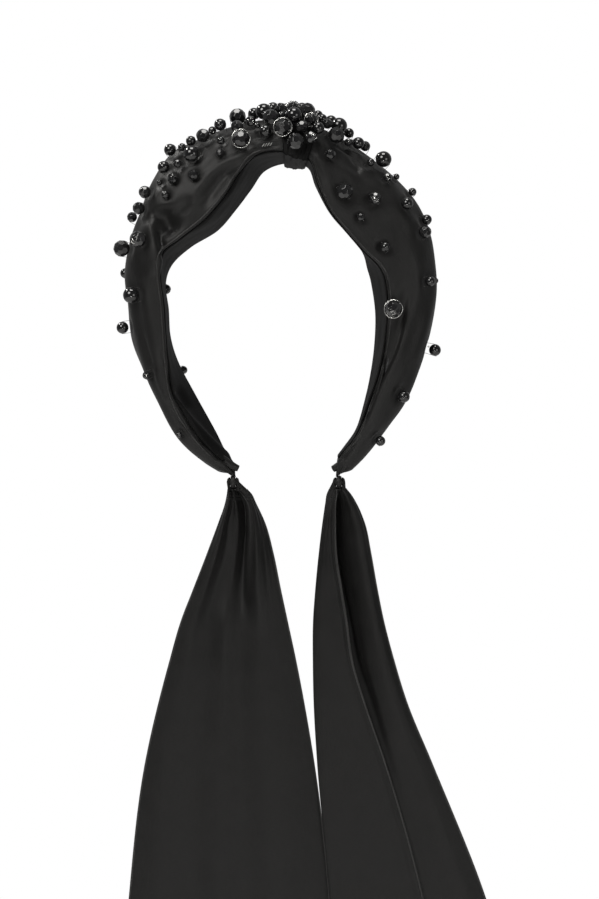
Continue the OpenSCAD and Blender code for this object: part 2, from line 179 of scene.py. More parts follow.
# ---------------------------------------------------------------- mesh helpers
def grid_normals(p, closed=False):
    """Unit normals of a grid of points, whose columns may run round in a ring."""
    if closed:
        across = np.roll(p, -1, axis=1) - np.roll(p, 1, axis=1)
    else:
        across = np.gradient(p, axis=1)
    n = np.cross(np.gradient(p, axis=0), across)
    return n / np.maximum(np.linalg.norm(n, axis=-1, keepdims=True), 1e-9)


def grid_uv(p):
    """Cloth coordinates of a grid in cm, along its rows and columns."""
    du = np.linalg.norm(np.diff(p, axis=0), axis=2).mean(axis=1)
    dv = np.linalg.norm(np.diff(p, axis=1), axis=2).max(axis=0)
    u = np.concatenate([[0], np.cumsum(du)])
    v = np.concatenate([[0], np.cumsum(dv)])
    return np.stack(np.broadcast_arrays(u[:, None], v[None]), axis=-1) / 10


def quads(n, m, closed=False, start=0, flip=False):
    """The faces of a grid of n rows of m points, whose columns may run round in a ring."""
    i, j = np.meshgrid(np.arange(n - 1), np.arange(m if closed else m - 1), indexing="ij")
    k = (j + 1) % m
    f = np.stack([i * m + j, i * m + k, (i + 1) * m + k, (i + 1) * m + j], axis=-1).reshape(-1, 4) + start
    return f[:, ::-1] if flip else f


def capped(n, m):
    """The faces of n rings of m points, closed at both ends."""
    return quads(n, m, True).tolist() + [list(range(m))[::-1], [(n - 1) * m + i for i in range(m)]]


class Soup:
    """Points and faces that become one object. Points are given in mm."""

    def __init__(self):
        self.points, self.faces, self.uv, self.mat, self.flat = [], [], [], [], []
        self.count = 0

    def add(self, verts, faces, uv=None, mat=0, flat=False):
        """Adds points in mm and faces that count from the first of them. Flat faces aren't smoothed."""
        verts = np.asarray(verts, float).reshape(-1, 3)
        faces = [[int(i) + self.count for i in f] for f in faces]
        self.points.append(verts)
        self.faces += faces
        self.uv.append(verts[:, [0, 2]] / 10 if uv is None else np.asarray(uv).reshape(-1, 2))
        self.mat += [mat] * len(faces)
        self.flat += [flat] * len(faces)
        self.count += len(verts)
        return self

    def shell(self, p, thick, closed=False):
        """A sheet of the given thickness: p is its outer face, and it goes inwards from there."""
        n, m = p.shape[:2]
        q = p - thick * grid_normals(p, closed)
        uv = grid_uv(p)
        faces = [quads(n, m, closed), quads(n, m, closed, n * m, True)]
        ring = np.arange(m if closed else m - 1)
        nxt = (ring + 1) % m
        for row, turn in ((0, False), (n - 1, True)):
            f = np.stack([row * m + ring, row * m + ring + n * m, row * m + nxt + n * m, row * m + nxt], 1)
            faces.append(f[:, ::-1] if turn else f)
        if not closed:
            rows = np.arange(n - 1) * m
            for col, turn in ((0, True), (m - 1, False)):
                a = rows + col
                f = np.stack([a, a + n * m, a + m + n * m, a + m], 1)
                faces.append(f[:, ::-1] if turn else f)
        return self.add(np.vstack([p.reshape(-1, 3), q.reshape(-1, 3)]), np.vstack(faces).tolist(),
                        np.vstack([uv.reshape(-1, 2)] * 2))

    def tube(self, path, radius, sides=8, mat=0, closed=False):
        """A round tube along a path. The radius may be one number or one for each point."""
        path = np.asarray(path, float)
        r = np.broadcast_to(np.asarray(radius, float), len(path))
        step = np.roll(path, -1, 0) - np.roll(path, 1, 0) if closed else np.gradient(path, axis=0)
        t = unit(step)
        side = np.cross(t[0], [0.3, 1, 0.2])
        rings = []
        for k in range(len(path)):
            side = unit(side - (side @ t[k]) * t[k])
            other = np.cross(t[k], side)
            a = circle(sides)[:, None]
            rings.append(path[k] + r[k] * (np.cos(a) * side + np.sin(a) * other))
        p = np.array(rings)
        if closed:
            p = np.concatenate([p, p[:1]])
            faces = quads(len(p), sides, True).reshape(-1, 4) % (len(path) * sides)
            return self.add(p[:-1].reshape(-1, 3), faces.tolist(), None, mat)
        return self.add(p.reshape(-1, 3), capped(len(p), sides), grid_uv(p), mat)

    def done(self, name, *materials):
        """Makes the object, with its faces turned outwards and its cloth coordinates as a UV map."""
        me = bpy.data.meshes.new(name)
        me.from_pydata((np.vstack(self.points) * MM).tolist(), [], self.faces)
        me.polygons.foreach_set("material_index", self.mat)
        me.polygons.foreach_set("use_smooth", [not x for x in self.flat])
        for m in materials:
            me.materials.append(m)
        loops = np.empty(len(me.loops), np.int32)
        me.loops.foreach_get("vertex_index", loops)
        me.uv_layers.new(name="Cloth").data.foreach_set("uv", np.vstack(self.uv)[loops].ravel())
        me.update()
        bm = bmesh.new()
        bm.from_mesh(me)
        bmesh.ops.recalc_face_normals(bm, faces=bm.faces)
        bm.to_mesh(me)
        bm.free()
        obj = bpy.data.objects.new(name, me)
        bpy.context.scene.collection.objects.link(obj)
        return obj


# ---------------------------------------------------------------- materials
def material(name, **sockets):
    """A principled material. Fixed values go straight onto the shader's own sockets."""
    m = bpy.data.materials.new(name)
    m.use_nodes = True
    nt = m.node_tree
    shader = nt.nodes["Principled BSDF"]
    for key, value in sockets.items():
        shader.inputs[key.replace("_", " ")].default_value = value
    return m, nt, shader


def coords(nt, output="Object", scale=(1, 1, 1), turn=0.0):
    tc, mp = nt.nodes.new("ShaderNodeTexCoord"), nt.nodes.new("ShaderNodeMapping")
    mp.inputs["Scale"].default_value = scale
    mp.inputs["Rotation"].default_value = (0, 0, turn)
    nt.links.new(tc.outputs[output], mp.inputs["Vector"])
    return mp.outputs["Vector"]


def noise(nt, vector, scale, detail=4.0, rough=0.55):
    n = nt.nodes.new("ShaderNodeTexNoise")
    n.inputs["Scale"].default_value = scale
    n.inputs["Detail"].default_value = detail
    n.inputs["Roughness"].default_value = rough
    nt.links.new(vector, n.inputs["Vector"])
    return n.outputs["Fac"]


def wave(nt, vector, scale, direction="X", distortion=0.0):
    w = nt.nodes.new("ShaderNodeTexWave")
    w.bands_direction = direction
    w.inputs["Scale"].default_value = scale
    w.inputs["Distortion"].default_value = distortion
    w.inputs["Detail"].default_value = 1
    nt.links.new(vector, w.inputs["Vector"])
    return w.outputs["Fac"]


def ramp(nt, fac, low, high, a=0.3, b=0.7):
    r = nt.nodes.new("ShaderNodeValToRGB")
    r.color_ramp.elements[0].position, r.color_ramp.elements[1].position = a, b
    r.color_ramp.elements[0].color, r.color_ramp.elements[1].color = (*low, 1), (*high, 1)
    nt.links.new(fac, r.inputs["Fac"])
    return r.outputs["Color"]


def spread(nt, fac, low, high):
    r = nt.nodes.new("ShaderNodeMapRange")
    r.inputs["To Min"].default_value, r.inputs["To Max"].default_value = low, high
    nt.links.new(fac, r.inputs["Value"])
    return r.outputs["Result"]


def surface(nt, shader, colour, roughness, heights=()):
    """Links a colour, a roughness and a stack of bumps: each a height, a strength and a depth in mm."""
    nt.links.new(colour, shader.inputs["Base Color"])
    nt.links.new(roughness, shader.inputs["Roughness"])
    last = None
    for height, strength, depth in heights:
        b = nt.nodes.new("ShaderNodeBump")
        b.inputs["Strength"].default_value = strength
        b.inputs["Distance"].default_value = depth * MM
        nt.links.new(height, b.inputs["Height"])
        if last:
            nt.links.new(last, b.inputs["Normal"])
        last = b.outputs["Normal"]
    if last:
        nt.links.new(last, shader.inputs["Normal"])


def times(nt, a, b):
    n = nt.nodes.new("ShaderNodeMath")
    n.operation = "MULTIPLY"
    nt.links.new(a, n.inputs[0])
    nt.links.new(b, n.inputs[1])
    return n.outputs[0]


def satin(name, dark, light, rough, sheen=0.25, gloss=0.42, relief=1.0):
    """Black satin: a fine twill, slubs along the warp and faint creasing."""
    m, nt, shader = material(name, Sheen_Weight=sheen, Sheen_Roughness=0.45, Specular_IOR_Level=gloss)
    slub = noise(nt, coords(nt, "UV", (14, 1.2, 1)), 3.0, 3)
    cloud = noise(nt, coords(nt), 70.0, 5)
    twill = wave(nt, coords(nt, "UV", (1, 1, 1), 0.6), 11.0, "X", 0.4)
    weft = wave(nt, coords(nt, "UV"), 14.0, "Y", 0.3)
    crease = noise(nt, coords(nt, "UV", (1.0, 2.2, 1)), 2.2, 6, 0.6)
    weave = times(nt, twill, weft)
    surface(nt, shader, ramp(nt, times(nt, slub, cloud), dark, light, 0.12, 0.42),
            spread(nt, cloud, rough - 0.07, rough + 0.09),
            [(crease, 0.28 * relief, 0.5), (weave, 0.22, 0.03), (slub, 0.2 * relief, 0.04)])
    return m


SATIN = satin("black_satin", (0.0035, 0.0034, 0.0033), (0.0085, 0.0082, 0.008), 0.47, 0.08, 0.36)
TAIL_SATIN = satin("black_tail_satin", (0.003, 0.0029, 0.0028), (0.0085, 0.0082, 0.008), 0.47, 0.08, 0.27)
# Lighter, glossier satin for the hems and the piped ridge: a painted highlight along the fabric's edges.
HIGHLIGHT_HEM_SATIN = satin("black_hem_satin_painted_highlight", (0.012, 0.0118, 0.0115), (0.028, 0.0275, 0.027), 0.38, 0.15, 0.5)
# A darker, duller copy of the satin for the lining ribbon and the knot wrap: painted shade on the band's
# inner face and under the knot.
SHADED_LINING_SATIN = satin("black_lining_satin_painted_shade", (0.0018, 0.0018, 0.0018), (0.005, 0.0049, 0.0048), 0.62, 0.0, 0.16, 0.4)


def foam():
    m, nt, shader = material("grey_foam", Specular_IOR_Level=0.2)
    v = nt.nodes.new("ShaderNodeTexVoronoi")
    v.inputs["Scale"].default_value = 1500
    nt.links.new(coords(nt), v.inputs["Vector"])
    surface(nt, shader, ramp(nt, v.outputs["Distance"], (0.03, 0.03, 0.032), (0.1, 0.1, 0.105), 0.1, 0.6),
            spread(nt, noise(nt, coords(nt), 300.0), 0.8, 0.95), [(v.outputs["Distance"], 0.6, 0.3)])
    return m


FOAM = foam()


def plastic():
    m, nt, shader = material("black_hoop_plastic", Specular_IOR_Level=0.5)
    fine, broad = noise(nt, coords(nt), 1800.0, 2), noise(nt, coords(nt), 60.0, 4)
    surface(nt, shader, ramp(nt, broad, (0.014, 0.014, 0.015), (0.026, 0.026, 0.027)),
            spread(nt, fine, 0.36, 0.5), [(fine, 0.15, 0.02), (broad, 0.1, 0.1)])
    return m


PLASTIC = plastic()


def glass(name, dark, light, rough, **more):
    """Polished bead glass, with faint haze, fine wheel marks and a clear coat."""
    m, nt, shader = material(name, Specular_IOR_Level=0.6, Coat_Weight=0.5, Coat_Roughness=0.04, **more)
    haze, marks = noise(nt, coords(nt), 260.0, 4), noise(nt, coords(nt, "Object", (1, 1, 6)), 2200.0, 2)
    surface(nt, shader, ramp(nt, haze, dark, light), spread(nt, marks, rough * 0.7, rough * 1.5),
            [(marks, 0.04, 0.01)])
    return m


BLACK_BEAD = glass("black_glass_bead", (0.004, 0.004, 0.0045), (0.009, 0.009, 0.0095), 0.09)
CUT_BEAD = glass("black_cut_bead", (0.005, 0.005, 0.0055), (0.013, 0.013, 0.0135), 0.13)
CRYSTAL = glass("smoky_crystal", (0.005, 0.005, 0.0055), (0.02, 0.02, 0.021), 0.04,
                Transmission_Weight=0.05, IOR=1.6)
WHITE_BEAD = glass("white_seed_bead", (0.72, 0.72, 0.7), (0.9, 0.9, 0.88), 0.15)


def metal(name, dark, light, rough):
    m, nt, shader = material(name, Metallic=1.0)
    wear, brush = noise(nt, coords(nt), 700.0, 4), noise(nt, coords(nt, "Object", (1, 8, 1)), 2600.0, 2)
    surface(nt, shader, ramp(nt, wear, dark, light), spread(nt, brush, rough * 0.7, rough * 1.4),
            [(brush, 0.1, 0.01)])
    return m


SILVER = metal("silver_wire", (0.62, 0.62, 0.6), (0.93, 0.93, 0.9), 0.16)


def thread_material(name, dark, light):
    m, nt, shader = material(name, Sheen_Weight=0.3, Specular_IOR_Level=0.3)
    ply = wave(nt, coords(nt, "UV", (1, 1, 1), 0.7), 16.0, "X")
    surface(nt, shader, ramp(nt, ply, dark, light), spread(nt, noise(nt, coords(nt), 2500.0), 0.5, 0.7),
            [(ply, 0.5, 0.05)])
    return m


BLACK_THREAD = thread_material("black_thread", (0.006, 0.006, 0.006), (0.02, 0.02, 0.02))
PALE_THREAD = thread_material("pale_stitch_thread", (0.35, 0.35, 0.34), (0.7, 0.7, 0.68))


# ---------------------------------------------------------------- folds in the satin
# A fold is a path in X and Z (mm), its height, its width to the left and right of the path, and
# the shares of its length over which it fades in and out. A negative height is a groove.
LEFT_FOLDS = [
    ([(-12, 3), (-22, -1), (-32, -7), (-39, -14), (-45, -20), (-53, -24), (-61, -27), (-65.5, -36)],
     1.7, 3.2, 8.0, 0.15, 0.25),
    ([(-21, -4), (-28, -9), (-34, -16), (-38, -22), (-41, -27)], -2.5, 3.6, 3.4, 0.3, 0.35),
    ([(-62, -25), (-58.5, -31), (-56, -36), (-53.5, -40)], -5.0, 5.5, 4.0, 0.3, 0.35),
    ([(-44, -19), (-50, -27), (-54, -30)], -1.0, 3.0, 3.0, 0.4, 0.4),
    ([(-63.5, -27), (-63.6, -35), (-62.3, -43), (-61, -51), (-60, -60)], 2.2, 1.3, 5.5, 0.25, 0.3),
    ([(-61.2, -36), (-60, -43), (-58, -47)], -2.2, 2.0, 1.2, 0.3, 0.3),
    ([(-66, -40), (-66, -60), (-64.5, -80), (-61, -98), (-56.5, -112), (-51, -124)], 1.0, 4.0, 5.0, 0.2, 0.3),
    ([(-72, -62), (-70.5, -82), (-65, -104), (-58, -119), (-50, -132)], -0.9, 4.0, 4.0, 0.3, 0.3),
    ([(-53, -131), (-46, -138), (-38, -144.5), (-31, -150)], 0.8, 1.6, 2.6, 0.3, 0.2),
    ([(-44, -137.5), (-37, -144), (-30, -150.5)], -1.3, 1.2, 1.4, 0.3, 0.2),
    ([(2, 5), (-8, 4.5), (-18, 1.5)], -1.0, 1.0, 1.8, 0.1, 0.5),
    ([(2, 11), (-8, 10), (-20, 7)], -0.7, 1.4, 1.8, 0.1, 0.5),
    ([(2, 16), (-12, 14), (-26, 9), (-40, 1)], 0.7, 2.0, 3.0, 0.1, 0.5),
    ([(-30, 5), (-46, -6), (-60, -18), (-68, -32)], 0.6, 3.5, 4.5, 0.3, 0.4),
    ([(-62, -92), (-58, -106), (-52, -119), (-47, -128)], -1.1, 1.4, 2.2, 0.3, 0.3),
    ([(-64, -104), (-59, -116), (-54, -125)], 0.8, 1.3, 1.8, 0.3, 0.3),
    ([(-57, -120), (-50, -131), (-43, -139)], -0.9, 1.2, 1.6, 0.3, 0.3),
    ([(-70, -84), (-67, -96), (-63, -108)], -0.7, 1.6, 2.4, 0.3, 0.4),
    ([(-8, 7), (-20, 3.5), (-33, -4), (-44, -14)], -0.8, 1.6, 2.6, 0.2, 0.4),
]
RIGHT_FOLDS = [
    ([(25, 6), (31, 4), (36, 1.5), (39.5, -2), (41, -7)], -1.5, 1.0, 1.5, 0.25, 0.25),
    ([(34, 1), (37.5, -4), (38.5, -9)], -1.2, 1.0, 1.2, 0.3, 0.3),
    ([(30, 6), (36, 3.5), (40.5, -0.5)], 0.8, 1.2, 1.2, 0.3, 0.3),
    ([(16, 2), (24, -3), (33, -9), (42, -14)], 0.8, 3.0, 3.5, 0.2, 0.5),
    ([(45, -6), (54, -17), (60, -34), (64, -52), (66, -68), (64, -86)], 1.2, 5.0, 4.5, 0.25, 0.35),
    ([(46, -20), (53, -32), (59, -48), (63, -66)], -1.1, 4.0, 4.0, 0.3, 0.4),
    ([(20, -9), (27, -21), (36, -33), (46, -45)], 0.6, 3.0, 3.0, 0.3, 0.4),
    ([(62.5, -64), (60.5, -78), (58.8, -88), (55, -99), (49.5, -110), (44.5, -122), (39.5, -136)],
     -2.6, 0.9, 5.0, 0.25, 0.25),
    ([(64, -66), (62, -79), (60.3, -89), (56.5, -100), (51, -111), (46, -123), (41, -136)],
     0.9, 4.0, 0.9, 0.25, 0.25),
    ([(56, -124), (47, -135), (38, -145), (32, -151)], 0.6, 2.5, 2.5, 0.3, 0.2),
    ([(37, -140), (32.5, -146), (29, -151)], -1.0, 1.1, 1.2, 0.3, 0.2),
    ([(66, -98), (61, -112), (54, -125)], -0.7, 2.0, 2.6, 0.3, 0.4),
    ([(24, 3), (31, -3), (40, -9), (50, -17)], -0.7, 1.6, 2.4, 0.2, 0.5),
    ([(56, -60), (57, -74), (55, -88)], 0.6, 2.4, 2.0, 0.3, 0.4),
]
LINING_FOLDS = [
    ([(-55.5, -116), (-51, -124), (-44, -132.5), (-34, -143), (-24, -152)], 2.2, 1.8, 2.4, 0.2, 0.15),
    ([(-53, -112), (-49, -119), (-45, -126)], -1.6, 2.0, 2.0, 0.3, 0.3),
    ([(-15, -4), (-22, -14), (-30, -26), (-38, -33), (-48, -41)], 0.9, 1.6, 2.0, 0.2, 0.3),
]


def refined(path, n):
    """A path with n smooth steps between its points."""
    path = np.asarray(path, float)
    k = np.arange(len(path))
    return curve(k, path, np.linspace(0, len(path) - 1, n * (len(path) - 1) + 1))


def fold_height(p, folds):
    """The height of the folds at the points p, from their distance to each path seen from the front."""
    q, out = p[..., [0, 2]], np.zeros(p.shape[:-1])
    for path, height, left, right, fade_in, fade_out in folds:
        pts = refined(path, 4)
        seg = np.diff(pts, axis=0)
        seg_len = np.linalg.norm(seg, axis=1)
        done = np.concatenate([[0], np.cumsum(seg_len)])
        best, side, along = np.full(out.shape, 1e9), np.zeros(out.shape), np.zeros(out.shape)
        for k, d in enumerate(seg):
            r = q - pts[k]
            t = np.clip(r @ d / seg_len[k] ** 2, 0, 1)
            r = r - t[..., None] * d
            dist = np.hypot(r[..., 0], r[..., 1])
            near = dist < best
            best = np.where(near, dist, best)
            side = np.where(near, d[0] * r[..., 1] - d[1] * r[..., 0], side)
            along = np.where(near, (done[k] + t * seg_len[k]) / done[-1], along)
        width = np.where(side > 0, left, right)
        fade = smooth(along / fade_in) * smooth((1 - along) / fade_out)
        out += height * np.exp(-(best / width) ** 2) * fade
    return out


def ripple(a, b, seed, waves=7, low=0.02, high=0.09):
    """Seeded soft ripples over two cloth coordinates in mm, about -1 to 1 high."""
    r = np.random.default_rng(seed)
    out = 0
    for _ in range(waves):
        f, g, phase = r.uniform(low, high), r.uniform(low * 0.3, high * 0.35), r.uniform(0, 6.28)
        out = out + np.sin(6.283 * (f * b + r.choice([-1, 1]) * g * a) + phase)
    return out / waves ** 0.5


# ---------------------------------------------------------------- the beads, read from the CAD
BEAD_NODES = {
    "crown": {"round": "crown_round_beads", "cut": "crown_faceted_beads", "rimmed": "crown_rimmed_beads",
              "crystal": "crown_crystal_beads"},
    "left_arm": {"round": "left_round_beads", "cut": "left_faceted_beads",
                 "crystal": "left_crystal_beads"},
    "right_arm": {"round": "right_round_beads", "cut": "right_faceted_beads",
                  "crystal": "right_crystal_beads"},
}
THREAD_NODES = {"crown": "crown_bead_threads", "left_arm": "left_bead_threads",
                "right_arm": "right_bead_threads"}


def read_beads():
    """Every bead's body, kind, middle, diameter and the direction of its thread hole."""
    out = []
    for body, kinds in BEAD_NODES.items():
        pins = islands(THREAD_NODES[body])
        mids = np.array([(p.min(0) + p.max(0)) / 2 for p in pins])
        for kind, node in kinds.items():
            for p in islands(node):
                mid = (p.min(0) + p.max(0)) / 2
                pin = pins[np.linalg.norm(mids - mid, axis=1).argmin()]
                axis = np.linalg.svd(pin - pin.mean(0), full_matrices=False)[2][0]
                out.append((body, kind, mid, float(np.ptp(p[:, 1])), axis * (1 if axis[0] > 0 else -1)))
    return out


BEADS = read_beads()


DIMPLE_DEPTH, DIMPLE_SHARE, DIMPLE_RIM = 1.35, 0.9, 0.7


def dimples(p):
    """Each bead presses the satin in a little. Dimples that overlap don't add up beyond the full depth."""
    flat = np.ones(p.shape[:-1])
    for _, _, mid, d, _ in BEADS:
        beyond = np.maximum(((p - mid) ** 2).sum(axis=-1) - (d / 2 + DIMPLE_RIM) ** 2, 0)
        flat *= 1 - DIMPLE_SHARE * np.exp(-beyond / (0.33 * d + 1.4) ** 2)
    return -DIMPLE_DEPTH * (1 - flat)


# ---------------------------------------------------------------- satin covers, foam, hoop and lining
# Places along the band, as stations: the knot's middle and edges, the satin's ends and the arms' seams.
KNOT_S, WRAP_FROM, WRAP_TO = 14.4, 13.9, 14.9
LEFT_END_S, RIGHT_END_S = 0.32, 27.68
LEFT_SEAM, RIGHT_SEAM = 12.5, 17.0
# Thicknesses, heights and places in mm, and the number of pleats round the band at the knot.
CLOTH_T, LINING_SHEET_T, LINING_FACE = 0.7, 0.72, -0.82
KNOT_PLEATS, PLEAT_HEIGHT, RIPPLE_HEIGHT = 11, 0.55, 0.28
PAD_INSET, PAD_FLOOR = 1.9, 3.3
HOOP_MID, HOOP_ROUND = 1.75, 0.75
NECK_R = 1.7
LEFT_PINCH, RIGHT_PINCH = np.array([-24.5, 0, -157.5]), np.array([28.4, 0, -157.5])


def even_stations(s0, s1, step):
    """Stations about step mm apart, measured a little above the middle of the band's height."""
    s = np.linspace(s0, s1, 600)
    mid, _, up, _, rise, _ = band(s)
    run = run_along(mid + up * rise[:, None] * 0.6)
    return np.interp(np.linspace(0, run[-1], int(run[-1] / step) + 1), run, s)


def cover_height(s, p, folds, seed):
    """How far the satin stands out from its plain section: folds, pleats at the knot and dimples."""
    run = run_along(p[:, p.shape[1] // 2])
    steps = np.linalg.norm(np.diff(p, axis=1), axis=2)
    girth = np.concatenate([np.zeros((len(s), 1)), np.cumsum(steps, 1)], 1)
    h = fold_height(p, folds) + dimples(p)
    h += RIPPLE_HEIGHT * ripple(run[:, None], girth, seed)
    from_knot = abs(s - KNOT_S)[:, None]
    share = girth / girth[:, -1:]
    pleats = np.sin(2 * math.pi * KNOT_PLEATS * share + 1.5 * np.sin(5 * share + seed))
    pleats = pleats * (0.6 + 0.4 * np.sin(17 * share))
    h += PLEAT_HEIGHT * pleats * np.exp(-((from_knot - 0.75) / 0.75) ** 2)
    calm = smooth((from_knot - 0.52) / 0.4)
    hem = smooth(np.minimum(share, 1 - share) / 0.09)
    return h * calm * hem


def pinched(ring, centre, across, up, seed, steps=16):
    """Rings that carry the satin's end in to a small gathered neck."""
    girth = run_along(ring)
    a = (2 * girth / girth[-1] - 1) * math.pi * 0.985
    r = NECK_R * (1 + 0.14 * np.sin(8 * a + seed))
    neck = centre + r[:, None] * (np.sin(a)[:, None] * across + np.cos(a)[:, None] * up * 0.9)
    out = []
    for e in np.linspace(0, 1, steps + 1)[1:]:
        w = smooth(e) ** 0.85
        body = ring + 0.5 * np.sin(8 * a + seed)[:, None] * w * (1 - w) * 4 * unit(ring - ring.mean(0))
        out.append(body * (1 - w) + neck * w)
    return np.array(out)


def cover_points(s0, s1, folds, seed, step=0.95):
    """The satin's outer face from station s0 to s1."""
    s = even_stations(s0, s1, step)
    p = placed(s, *skin_profile(s))
    return p + grid_normals(p) * cover_height(s, p, folds, seed)[..., None]


BACKWARDS = np.array([0, 1.0, 0])
left_skin = cover_points(LEFT_END_S, KNOT_S - 0.02, LEFT_FOLDS, 3)
right_skin = cover_points(KNOT_S + 0.02, RIGHT_END_S, RIGHT_FOLDS, 5)
left_neck = pinched(left_skin[0], LEFT_PINCH, BACKWARDS, unit(np.array([-0.85, 0, 0.5])), 1)
right_neck = pinched(right_skin[-1], RIGHT_PINCH, BACKWARDS, unit(np.array([0.85, 0, 0.5])), 2)
left_all = np.concatenate([left_neck[::-1], left_skin])
right_all = np.concatenate([right_skin, right_neck])


def piped(p, first, last):
    """The satin with its folded front edge pressed to a thin ridge. The ridge takes the lighter hem satin, a
    painted highlight along that edge.
    """
    path = p[first:last, 9] + 0.12 * grid_normals(p)[first:last, 9]
    along = np.linspace(0, 1, len(path))
    soup = Soup().shell(p, CLOTH_T)
    soup.tube(path, 0.1 + 0.2 * smooth(along / 0.05) * smooth((1 - along) / 0.05), 8, mat=1)
    return soup


satin_left = piped(left_all, 22, -14).done("satin_left", SATIN, HIGHLIGHT_HEM_SATIN)
satin_right = piped(right_all, 14, -22).done("satin_right", SATIN, HIGHLIGHT_HEM_SATIN)


def foam_pad(name, s0, s1, folds, seed):
    """A foam pad that fills the satin. It goes down with the satin's grooves, but not up with its folds."""
    s = even_stations(s0, s1, 2.2)
    u, v = skin_profile(s, PAD_INSET, False, 42)
    p = placed(s, u, v)
    p = p + grid_normals(p) * np.minimum(cover_height(s, p, folds, seed), 0)[..., None]
    half = (u[:, -1:] - u[:, :1]) / 2
    t = np.linspace(0.9, -0.9, 9)[None]
    base = placed(s, (u[:, -1:] + u[:, :1]) / 2 + half * t, PAD_FLOOR - 0.1 * np.cos(t * 1.5) + 0 * half)
    ring = np.concatenate([p, base], axis=1)
    return Soup().add(ring, capped(*ring.shape[:2])).done(name, FOAM)


for node, body, s0, s1 in (("crown_pad", "crown", LEFT_SEAM + 0.05, RIGHT_SEAM - 0.05),
                           ("left_pad", "left_arm", 1.2, LEFT_SEAM - 0.05),
                           ("right_pad", "right_arm", RIGHT_SEAM + 0.05, 26.8)):
    pad = foam_pad("foam_" + node, s0, s1, LEFT_FOLDS + RIGHT_FOLDS, 3)
    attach(pad, body)
    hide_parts(node)


def hoop_half(name, s0, s1):
    """The flexible hoop: a flat plastic strip with rounded edges."""
    s = even_stations(s0, s1, 1.6)
    w = np.minimum(12, 0.45 * band(s)[3])[:, None]
    a = circle(28)
    cu, cv = np.cos(a), np.sin(a)
    u = (w / 2 - HOOP_ROUND) * np.sign(cu) * np.minimum(abs(cu) * 1.5, 1) + HOOP_ROUND * cu
    v = HOOP_MID + 0.78 * np.sign(cv) * abs(cv) ** 0.75 + 0 * w
    p = placed(s, u, v)
    return Soup().add(p, capped(*p.shape[:2]), grid_uv(p)).done(name, PLASTIC)


def lining_half(s0, s1, seed):
    """The satin ribbon that lines the band, with the soft fold that rises in it near the left end."""
    s = even_stations(s0, s1, 1.1)
    half = band(s)[3][:, None] / 2 - LINING_MARGIN
    t = np.linspace(1, -1, 44)[None]
    p = placed(s, half * t, LINING_FACE + 0 * half * t)
    run = run_along(p[:, 22])
    h = fold_height(p, LINING_FOLDS) + 0.08 * ripple(run[:, None], half * t, seed, 6, 0.03, 0.12)
    h = h * smooth((1 - abs(t)) / 0.12) * smooth((abs(s - KNOT_S)[:, None] - 0.5) / 0.5)
    return p + grid_normals(p) * h[..., None]


lining_left_p = lining_half(0.45, KNOT_S, 11)
lining_right_p = lining_half(KNOT_S, 27.55, 12)
# The lining takes the darker satin: painted shade on the band's inner face.
lining_left = Soup().shell(lining_left_p, LINING_SHEET_T).done("lining_left", SHADED_LINING_SATIN)
lining_right = Soup().shell(lining_right_p, LINING_SHEET_T).done("lining_right", SHADED_LINING_SATIN)
hoop_left = hoop_half("hoop_left", 0.7, KNOT_S)
hoop_right = hoop_half("hoop_right", KNOT_S, 27.3)


def over_arm(piece):
    """Bakes a piece's placement into its mesh."""
    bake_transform(piece)


for side, satin_piece, lining_piece, hoop_piece, skin_p, lining_p in (
        ("left", satin_left, lining_left, hoop_left, left_all, lining_left_p),
        ("right", satin_right, lining_right, hoop_right, right_all, lining_right_p)):
    for piece in (satin_piece, lining_piece, hoop_piece):
        over_arm(piece)
    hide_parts(side + "_cover", "crown_cover")
    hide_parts("lining_ribbon")
    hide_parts("hoop")
    for piece, p in ((satin_piece, skin_p), (lining_piece, lining_p)):
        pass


# ---------------------------------------------------------------- the knot
WRAP_STANDS_OUT, WRAP_T = 1.9, 0.8


def knot_wrap():
    """The satin wrapped round the knot: rings round the band, with rounded edges and creases along them."""
    s = np.linspace(WRAP_FROM, WRAP_TO, 46)
    width, rise, lean = (x[:, None] for x in band(s)[3:])
    bulge = np.sin(math.pi * np.linspace(0, 1, len(s)))[:, None]
    floor = -LINING_TOP - LINING_T - 0.9 - 0.9 * bulge
    a = np.linspace(0, math.pi, 110)[None]
    half = width / 2 + WRAP_STANDS_OUT
    u = -half * np.cos(a) + lean * np.sin(a)
    v = floor + (rise + WRAP_STANDS_OUT - floor) * np.sin(a) ** DOME
    t = np.linspace(0, 1, 46)[1:-1][None]
    bu, bv = half * (1 - 2 * t), floor - 0.5 * np.sin(math.pi * t) + 0 * half
    p = placed(s, np.hstack([u, bu]), np.hstack([v, bv]))
    p = np.roll(p, 20, axis=1)
    across = np.linspace(0, 1, len(s))[:, None]
    ring = circle(p.shape[1])[None]
    skew = across + 0.05 * np.sin(ring * 2 + 0.5) + 0.03 * np.sin(ring * 5)
    h = 0.26 * np.sin(2 * math.pi * 2.6 * skew) + 0.1 * np.sin(2 * math.pi * 7.3 * skew + 1.0)
    h += 1.3 * np.sqrt(np.maximum(1 - (2 * across - 1) ** 2, 0)) - 1.1
    return p + grid_normals(p, True) * h[..., None]


wrap_p = knot_wrap()
# The wrap takes the darker satin: painted shade under the knot.
wrap = Soup().shell(wrap_p, WRAP_T, True).done("knot_wrap_cloth", SHADED_LINING_SATIN)
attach(wrap, "crown")
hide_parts("knot_wrap")

stitches = Soup()
for p in islands("knot_stitches"):
    mid, axis = p.mean(0), unit(np.linalg.svd(p - p.mean(0), full_matrices=False)[2][0])
    t = np.linspace(-1, 1, 9)[:, None]
    arc = mid + axis * t * 0.95 + np.array([0, -0.35, 0]) * (1 - t * t) + np.array([0, 0.45, 0])
    stitches.tube(arc, 0.13, 6)
stitches = stitches.done("knot_stitch_thread", PALE_THREAD)
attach(stitches, "crown")
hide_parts("knot_stitches")


